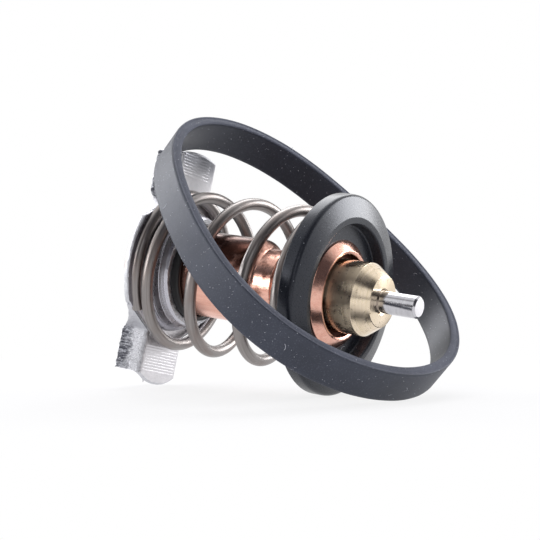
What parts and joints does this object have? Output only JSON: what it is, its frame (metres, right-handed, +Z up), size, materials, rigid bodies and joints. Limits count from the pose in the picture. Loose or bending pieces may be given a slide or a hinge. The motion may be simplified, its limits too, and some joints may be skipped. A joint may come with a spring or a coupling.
{
  "type": "engine thermostat",
  "caption": "Insert-type wax engine thermostat: two-winged frame, coil spring, copper capsule with pin, rubber-edged valve, and a loose flat seal ring leaning on one wing.",
  "frame": {"origin": "middle of the footprint's bounding box, on the bench", "axes": "+X towards the pin's end of the thermostat, level; +Z up; +Y away from the viewer of the side with the nearer coils"},
  "size_m": [0.0644, 0.0588, 0.0529],
  "materials": {
    "cast_frame": "cast light metal, faces serrated, boss and rim turned",
    "black_plastic": "moulded, satin",
    "copper": "drawn copper, bright",
    "spring_steel": "drawn wire, warm grey",
    "brass": "turned",
    "black_rubber": "moulded",
    "wax": "wax with copper powder",
    "polished_steel": "ground and polished",
    "pressed_steel": "pressed sheet",
    "valve_rubber": "moulded, dusty",
    "seal_rubber": "moulded, dusty"
  },
  "bodies": {
    "frame_body": {"frame": "cast_frame", "guide_bush": "black_plastic", "spring": "spring_steel", "seal_ring": "seal_rubber"},
    "capsule_body": {"capsule_case": "copper", "retaining_ring": "spring_steel", "pin_guide": "brass", "backing_washer": "brass", "squeeze_boot": "black_rubber", "wax_charge": "wax", "valve_disc": "pressed_steel", "valve_rubber": "valve_rubber"},
    "pin_body": {"piston_pin": "polished_steel"}
  },
  "joints": [
    {"name": "valve_lift", "type": "slide", "parent": "frame_body", "child": "capsule_body", "axis": [-0.9938, 0, 0.1108], "range_m": [0, 0.008], "stiffness_N_per_m": 3750, "springref_m": -0.01, "deforming": ["spring"]},
    {"name": "pin_travel", "type": "slide", "parent": "capsule_body", "child": "pin_body", "axis": [0.9938, 0, -0.1108], "range_m": [0, 0.008]}
  ],
  "couplings": [
    {"joint": "pin_travel", "follows": "valve_lift", "ratio": 1}
  ]
}
